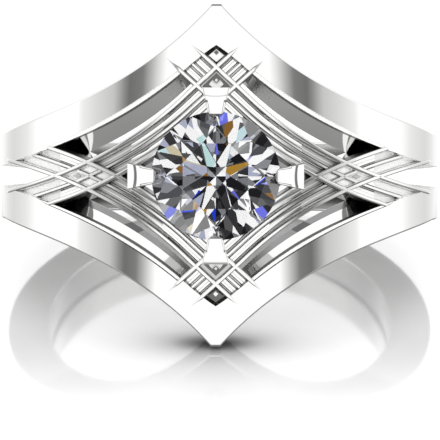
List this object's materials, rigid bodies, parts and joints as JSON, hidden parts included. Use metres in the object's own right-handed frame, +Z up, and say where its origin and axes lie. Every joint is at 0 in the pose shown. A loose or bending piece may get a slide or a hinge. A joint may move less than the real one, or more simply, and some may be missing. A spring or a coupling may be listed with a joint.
{
  "type": "diamond engagement ring",
  "caption": "Split-band ring with pointed chevron edges, ribbed crossing bars and a claw-set round diamond, lying on its side.",
  "frame": {"origin": "on the surface that the ring lies on, under the middle of the ring's bounding box", "axes": "+Z up; -Y towards the crown and its diamond; +X to the right of someone who faces the crown; the finger's axis leans 13.2 degrees from +Z towards +Y"},
  "size_m": [0.021, 0.0224, 0.0133],
  "materials": {
    "white_gold": "high polish",
    "diamond": "colourless, polished facets"
  },
  "bodies": {
    "root": {"ring_mount": "white_gold", "centre_diamond": "diamond"}
  },
  "joints": []
}
